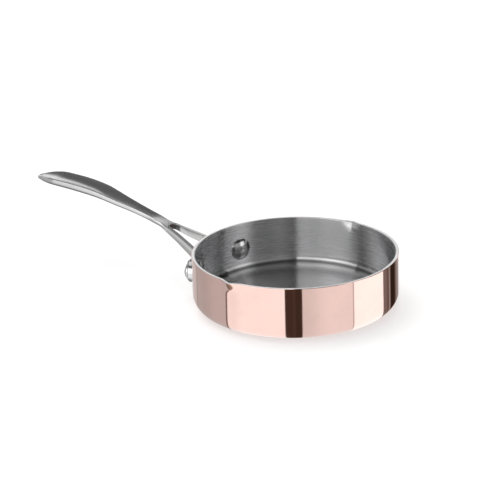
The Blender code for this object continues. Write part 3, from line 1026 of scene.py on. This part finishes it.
def rolled_core(name, colour, groups):
    """The bare edge of the aluminium core, dressed along the rim with fine paper."""
    material, tree, shader, _, lines = brushed_metal(
        name, groups, 9000.0, {"Metallic": 0.6, "Anisotropic": 0.9},
    )
    tone = mix_colours(tree, lines["Lines"], with_alpha(colour, 0.95), with_alpha(colour, 1.05))
    tree.links.new(tone, shader.inputs["Base Color"])
    gloss = maths(tree, "MULTIPLY_ADD", lines["Lines"], 0.1, 0.23)
    tree.links.new(gloss, shader.inputs["Roughness"])
    add_bump(tree, shader, lines["Lines"], strength=0.2, distance=0.01 * MM)
    return material


# The studio

# Bands of light and dark that the studio's cards and lamps show to a surface, by the
# direction that it faces. Each row is the angle from the camera, to the right, at
# which the band begins, the softness of that edge, and the band's brightness
LOW_START = 0.6
LOW_BANDS = (
    (-72.5, 1.0, 0.36), (-71.0, 1.0, 0.48), (-55.0, 8.0, 0.56), (-42.25, 0.4, 0.16),
    (-41.15, 0.4, 1.02), (-34.0, 4.0, 1.13),
    (-6.2, 0.3, 0.055), (-1.6, 0.8, 0.075), (-0.6, 0.8, 0.05), (3.3, 0.35, 0.75), (12.0, 8.0, 0.92),
    (32.8, 0.3, 0.45), (33.5, 0.3, 1.35), (56.6, 0.4, 0.2), (60.9, 0.5, 0.13), (62.9, 0.4, 0.3),
    (64.9, 0.7, 0.03), (71.9, 0.7, 0.16), (74.5, 1.5, 0.3), (80.5, 1.2, 1.0),
)
HIGH_START = 1.0
HIGH_BANDS = (
    (-80.0, 5.0, 0.3), (-60.0, 3.0, 0.45), (-45.0, 3.0, 0.35), (-40.5, 1.0, 0.12), (-39.0, 1.0, 0.92),
    (-34.0, 4.0, 1.1), (-27.0, 3.0, 1.3), (-15.0, 5.0, 0.97), (-1.0, 0.8, 0.12), (3.0, 3.0, 0.24),
    (27.0, 5.0, 0.87), (37.0, 4.0, 0.52), (44.8, 0.8, 0.045), (75.0, 5.0, 0.8),
)

# The tilt towards the sky, in degrees, over which the low bands pass into the high ones
LOW_TO_HIGH = (3.5, 9.0)

# How bright the high bands are by a surface's lean towards the sky, in degrees, and how
# much the lean changes with each degree that the surface is turned from the camera
LEAN_START = 1.8
LEAN_BANDS = ((24.8, 2.2, 0.11), (40.5, 4.0, 0.75))
LEAN_SLANT = -0.15

# The tilt at which the ceiling begins, by the angle from the camera, and its softness
CEILING_START = 47.0
CEILING_EDGES = ((-50.0, 5.0, 65.0), (70.0, 8.0, 47.0))
CEILING_SOFTNESS = 7.0

# The ceiling's dark panel, in x along the handle and y across it: the slants of its side
# and end against x, and the values between which each of its borders fades in
PANEL_LEVEL = 0.13
PANEL_SIDE_SLANT = -1.2
PANEL_SIDE = (-0.16, 0.06)
PANEL_BACK = (0.45, 0.36)
PANEL_END_SLANT = 5.0
PANEL_END = (-1.2, -1.1)
LEG_PANEL_SIDE = (0.045, 0.065)
LEG_PANEL_END = (-0.252, -0.27)

# What a surface seen edge-on mirrors: its level, and the length of the halfway vector
# over which it gives way to the bands
EDGE_ON_LEVEL = 0.8
EDGE_ON = (0.1, 0.35)

# Dark bands are tinted brown, below these levels
BROWN = (1.0, 0.62, 0.45, 1.0)
BROWN_LEVELS = (0.02, 0.33)

STAGE_RADIUS = 11.0
STAGE_HEIGHT = 16.0
STAGE_STEPS = 96

SUN_TOWARD = Vector((-0.3, 0.35, 1.0))
SUN_STRENGTH = 1.85
SUN_SPREAD = math.radians(60.0)

# The camera's aim as fitted to the photograph: yaw, pitch and roll in degrees, and the
# height of the point that its distance is measured from
CAMERA_AIM = (-0.999, 20.43, -1.506)
CAMERA_TARGET = 15.0 * MM


def bands(tree, angle, start, rows):
    """Steps from one brightness to the next along an angle in degrees."""
    level = start
    for edge, softness, brightness in rows:
        step = smooth_step(tree, angle, edge - softness, edge + softness)
        level = mix_values(tree, step, level, brightness)
    return level


def dark_panel(tree, x, y):
    """How far a direction lies inside the ceiling's dark panel, which runs along the handle.

    The panel ends in a slant past the grip, and a narrower part goes on over the legs.
    """
    from_side = maths(tree, "MULTIPLY_ADD", x, PANEL_SIDE_SLANT, y)
    side = smooth_step(tree, from_side, *PANEL_SIDE)
    back = smooth_step(tree, y, *PANEL_BACK)
    from_end = maths(tree, "MULTIPLY_ADD", x, PANEL_END_SLANT, y)
    end = smooth_step(tree, from_end, *PANEL_END)
    leg_side = smooth_step(tree, y, *LEG_PANEL_SIDE)
    leg_end = smooth_step(tree, x, *LEG_PANEL_END)
    over_legs = maths(tree, "MULTIPLY", leg_side, leg_end)
    end = maths(tree, "MAXIMUM", end, over_legs)
    return maths(tree, "MULTIPLY", maths(tree, "MULTIPLY", side, back), end)


def build_world(studio, corner_share):
    """A studio all round: cards and gaps low and high, and a light ceiling with a dark panel.

    A polished surface mirrors the direction that lies behind it as far as the camera
    lies before it. So the world is drawn by the direction that such a surface faces.
    """
    world = bpy.data.worlds.new("studio")
    bpy.context.scene.world = world
    tree = empty_tree(world)
    right = Vector((math.cos(studio.turn), -math.sin(studio.turn), 0.0))
    near = Vector((-math.sin(studio.turn), -math.cos(studio.turn), 0.0))
    eye = near * math.cos(studio.elevation) + UP * math.sin(studio.elevation)
    seen = add_node(tree, "ShaderNodeTexCoord").outputs["Generated"]
    middle = vector_maths(tree, "ADD", seen, tuple(eye))
    facing = vector_maths(tree, "NORMALIZE", middle)
    aside = vector_maths(tree, "DOT_PRODUCT", facing, tuple(right))
    ahead = vector_maths(tree, "DOT_PRODUCT", facing, tuple(near))
    parts = parts_of(tree, facing)
    above = parts["Z"]
    tilt_angle = maths(tree, "ARCSINE", above)
    tilt = maths(tree, "DEGREES", tilt_angle)
    flat = maths(tree, "COSINE", tilt_angle)

    # The rounded corner at the base stands back from the wall, so its bands are narrowed to
    # meet the wall's in straight lines
    below = maths(tree, "LESS_THAN", above, 0.0)
    narrowed = maths(tree, "MULTIPLY", maths(tree, "SUBTRACT", 1.0, flat), corner_share)
    narrowed = maths(tree, "SUBTRACT", 1.0, maths(tree, "MULTIPLY", narrowed, below))
    sine = maths(tree, "MULTIPLY", maths(tree, "DIVIDE", aside, flat), narrowed)
    cosine = maths(tree, "COSINE", maths(tree, "ARCSINE", sine))
    cosine = maths(tree, "MULTIPLY", cosine, maths(tree, "SIGN", ahead))
    turn = maths(tree, "DEGREES", maths(tree, "ARCTAN2", sine, cosine))

    low = bands(tree, turn, LOW_START, LOW_BANDS)
    high = bands(tree, turn, HIGH_START, HIGH_BANDS)
    lean = maths(tree, "MULTIPLY_ADD", maths(tree, "ABSOLUTE", turn), LEAN_SLANT, tilt)
    high = maths(tree, "MULTIPLY", high, bands(tree, lean, LEAN_START, LEAN_BANDS))
    is_high = smooth_step(tree, tilt, *LOW_TO_HIGH)
    level = mix_values(tree, is_high, low, high)
    panel = dark_panel(tree, parts["X"], parts["Y"])
    ceiling = mix_values(tree, panel, 1.0, PANEL_LEVEL)
    over_edge = maths(tree, "SUBTRACT", tilt, bands(tree, turn, CEILING_START, CEILING_EDGES))
    is_ceiling = smooth_step(tree, over_edge, -CEILING_SOFTNESS, CEILING_SOFTNESS)
    level = mix_values(tree, is_ceiling, level, ceiling)
    length = vector_maths(tree, "LENGTH", middle)
    level = mix_values(tree, smooth_step(tree, length, *EDGE_ON), EDGE_ON_LEVEL, level)
    tint = mix_colours(tree, smooth_step(tree, low, *BROWN_LEVELS), BROWN, WHITE)
    colour = mix_colours(tree, is_high, tint, WHITE)

    # Only reflections see the bands. Matt surfaces are lit by an even dome
    reflected = add_node(tree, "ShaderNodeLightPath").outputs["Is Glossy Ray"]
    level = mix_values(tree, reflected, studio.dome, level)
    colour = mix_colours(tree, reflected, WHITE, colour)
    light = add_node(tree, "ShaderNodeBackground", {"Color": colour, "Strength": level})
    add_node(tree, "ShaderNodeOutputWorld", {"Surface": light.outputs[0]})


def stage_piece(name, bm, material):
    """A piece of the stage, which reflections leave out, as a clear table would be."""
    piece = object_from(bm, name, material)
    piece.visible_glossy = False
    return piece


def build_floor(studio):
    """A plain pale floor, lifted towards white in the picture but not in the light that it gives."""
    material = bpy.data.materials.new("pale floor")
    tree = empty_tree(material)
    matt = add_node(
        tree, "ShaderNodeBsdfPrincipled",
        {"Base Color": with_alpha(studio.floor), "Roughness": 0.9, "Specular IOR Level": 0.0},
    )
    white = add_node(tree, "ShaderNodeEmission", {"Color": WHITE, "Strength": 1.0})
    path = add_node(tree, "ShaderNodeLightPath").outputs
    direct = maths(tree, "ADD", path["Is Camera Ray"], path["Is Glossy Ray"])
    direct = maths(tree, "ADD", direct, path["Is Transmission Ray"], clamp=True)
    share = maths(tree, "MULTIPLY", direct, studio.lift)
    mixed = add_node(tree, "ShaderNodeMixShader", {0: share, 1: matt.outputs[0], 2: white.outputs[0]})
    add_node(tree, "ShaderNodeOutputMaterial", {"Surface": mixed.outputs[0]})
    bm = bmesh.new()
    bmesh.ops.create_circle(bm, cap_ends=True, segments=STAGE_STEPS, radius=STAGE_RADIUS)
    stage_piece("studio_floor", bm, material)


def build_backdrop():
    """A white wall round the floor's far edge, which lights nothing."""
    material = bpy.data.materials.new("pale wall")
    tree = empty_tree(material)
    white = add_node(tree, "ShaderNodeEmission", {"Color": WHITE, "Strength": 1.0})
    add_node(tree, "ShaderNodeOutputMaterial", {"Surface": white.outputs[0]})
    bm = bmesh.new()
    bmesh.ops.create_cone(
        bm, cap_ends=False, segments=STAGE_STEPS, radius1=STAGE_RADIUS, radius2=STAGE_RADIUS,
        depth=STAGE_HEIGHT,
    )
    wall = stage_piece("studio_wall", bm, material)
    wall.visible_diffuse = False
    wall.visible_shadow = False


def add_sun(name, toward, strength, spread):
    """A broad, soft light from a direction, kept out of reflections."""
    lamp = bpy.data.lights.new(name, "SUN")
    lamp.energy = strength
    lamp.angle = spread
    holder = bpy.data.objects.new(name, lamp)
    holder.rotation_mode = "QUATERNION"
    holder.rotation_quaternion = toward.to_track_quat("Z", "Y")
    holder.visible_glossy = False
    bpy.context.scene.collection.objects.link(holder)


def build_camera(studio, turn):
    """The camera as fitted to the photograph's rim and base."""
    yaw, pitch, roll = (math.radians(angle) for angle in CAMERA_AIM)
    place = Vector((
        0.0, -studio.distance * math.cos(studio.elevation),
        CAMERA_TARGET + studio.distance * math.sin(studio.elevation),
    ))
    upright = math.radians(90.0)
    aim = Matrix.Rotation(-yaw, 3, "Z") @ Matrix.Rotation(upright - pitch, 3, "X")
    axes = turn @ aim @ Matrix.Rotation(roll, 3, "Z")
    data = bpy.data.cameras.new("camera")
    data.sensor_width = 36.0
    data.lens = studio.lens
    data.clip_start = 0.05
    data.clip_end = 30.0
    camera = bpy.data.objects.new("camera", data)
    camera.matrix_world = Matrix.Translation(turn @ place) @ axes.to_4x4()
    bpy.context.scene.collection.objects.link(camera)
    bpy.context.scene.camera = camera


# Operators


class PAN_OT_plies(bpy.types.Operator):
    """Build the copper shell, the aluminium core and the steel lining"""

    bl_idname = "pan.build_plies"
    bl_label = "Build Plies"

    def execute(self, context):
        sizes, colours = context.scene.pan_body, context.scene.pan_finishes
        groups = shader_groups()
        core_start = sizes.copper + sizes.bond
        lining_start = sizes.wall - sizes.lining
        core_end = lining_start - sizes.bond
        copper = polished_copper("polished copper", colours.copper, groups, sizes)
        core = rolled_core("rolled aluminium edge", colours.core, groups)
        lining = brushed_lining("brushed steel lining", colours.lining, groups, sizes.wall, sizes.corner)
        for name, node, slot, material, outer, inner in (
            ("copper_shell_fine", "copper_shell", "copper", copper, 0.0, sizes.copper),
            ("core_fine", "aluminium_core", "aluminium", core, core_start, core_end),
            ("lining_fine", "steel_lining", "lining_steel", lining, lining_start, sizes.wall),
        ):
            finish_piece(build_ply(sizes, outer, inner), name, node, material, sharp=50.0)
        return {"FINISHED"}


class PAN_OT_rivets(bpy.types.Operator):
    """Build the two rivets"""

    bl_idname = "pan.build_rivets"
    bl_label = "Build Rivets"

    def execute(self, context):
        scene = context.scene
        colour, groups = scene.pan_finishes.rivet, shader_groups()
        material = rivet_steel("polished rivet steel", colour, groups, scene.pan_body)
        for side, word in ((1, "left"), (-1, "right")):
            bm = build_rivet(scene.pan_rivets, scene.pan_body, scene.pan_handle, side)
            finish_piece(bm, "rivet_" + word + "_fine", "rivet_" + word, material)
        return {"FINISHED"}


class PAN_OT_handle(bpy.types.Operator):
    """Build the cast handle: grip, neck, legs and pads in one piece"""

    bl_idname = "pan.build_handle"
    bl_label = "Build Handle"

    def execute(self, context):
        scene = context.scene
        sizes, body, rivets = scene.pan_handle, scene.pan_body, scene.pan_rivets
        material = cast_steel("polished cast steel", scene.pan_finishes.casting, shader_groups())
        cage = build_casting(sizes, body)
        casting = finish_piece(cage, "handle_fine", "handle", material, sharp=0.0)
        bm = smooth_casting(casting)
        for side in (1, -1):
            pad = bpy.data.meshes.new("pad")
            shape = build_pad(sizes, body, rivets, side)
            shape.to_mesh(pad)
            shape.free()
            bm.from_mesh(pad)
            bpy.data.meshes.remove(pad)
        bm.to_mesh(casting.data)
        bm.free()
        casting.data.shade_smooth()
        casting.data.set_sharp_from_angle(angle=math.radians(40.0))
        mark_dull_and_shaded(casting.data, sizes)
        return {"FINISHED"}


class PAN_OT_studio(bpy.types.Operator):
    """Build the floor, the lights and the camera"""

    bl_idname = "pan.build_studio"
    bl_label = "Build Studio"

    def execute(self, context):
        scene = context.scene
        studio = scene.pan_studio
        turn = Matrix.Rotation(-studio.turn, 3, "Z")
        scene.view_settings.view_transform = "Standard"
        build_camera(studio, turn)
        build_world(studio, scene.pan_body.corner / scene.pan_body.radius)
        build_floor(studio)
        build_backdrop()
        add_sun("overhead_light", turn @ SUN_TOWARD, SUN_STRENGTH, SUN_SPREAD)
        return {"FINISHED"}


class PAN_PT_builder(bpy.types.Panel):
    """Sizes, finishes and build steps of the frying pan"""

    bl_idname = "PAN_PT_builder"
    bl_label = "Clad Frying Pan"
    bl_space_type = "VIEW_3D"
    bl_region_type = "UI"
    bl_category = "Frying Pan"

    def draw(self, context):
        layout = self.layout
        scene = context.scene
        for group, operator in (
            (scene.pan_body, PAN_OT_plies),
            (scene.pan_rivets, PAN_OT_rivets),
            (scene.pan_handle, PAN_OT_handle),
            (scene.pan_studio, PAN_OT_studio),
        ):
            box = layout.box()
            for name in type(group).__annotations__:
                box.prop(group, name)
            box.operator(operator.bl_idname)
        box = layout.box()
        for name in FinishColours.__annotations__:
            box.prop(scene.pan_finishes, name)


CLASSES = (
    BodySizes, RivetSizes, HandleSizes, FinishColours, StudioSettings,
    PAN_OT_plies, PAN_OT_rivets, PAN_OT_handle, PAN_OT_studio, PAN_PT_builder,
)
SETTINGS = (
    ("pan_body", BodySizes),
    ("pan_rivets", RivetSizes),
    ("pan_handle", HandleSizes),
    ("pan_finishes", FinishColours),
    ("pan_studio", StudioSettings),
)


def register():
    for cls in CLASSES:
        bpy.utils.register_class(cls)
    for name, group in SETTINGS:
        setattr(bpy.types.Scene, name, PointerProperty(type=group))


def unregister():
    for name, _ in SETTINGS:
        delattr(bpy.types.Scene, name)
    for cls in reversed(CLASSES):
        bpy.utils.unregister_class(cls)


def main():
    register()
    bpy.ops.pan.build_plies()
    bpy.ops.pan.build_rivets()
    bpy.ops.pan.build_handle()
    bpy.ops.pan.build_studio()
    bpy.context.view_layer.update()


if __name__ == "__main__":
    main()
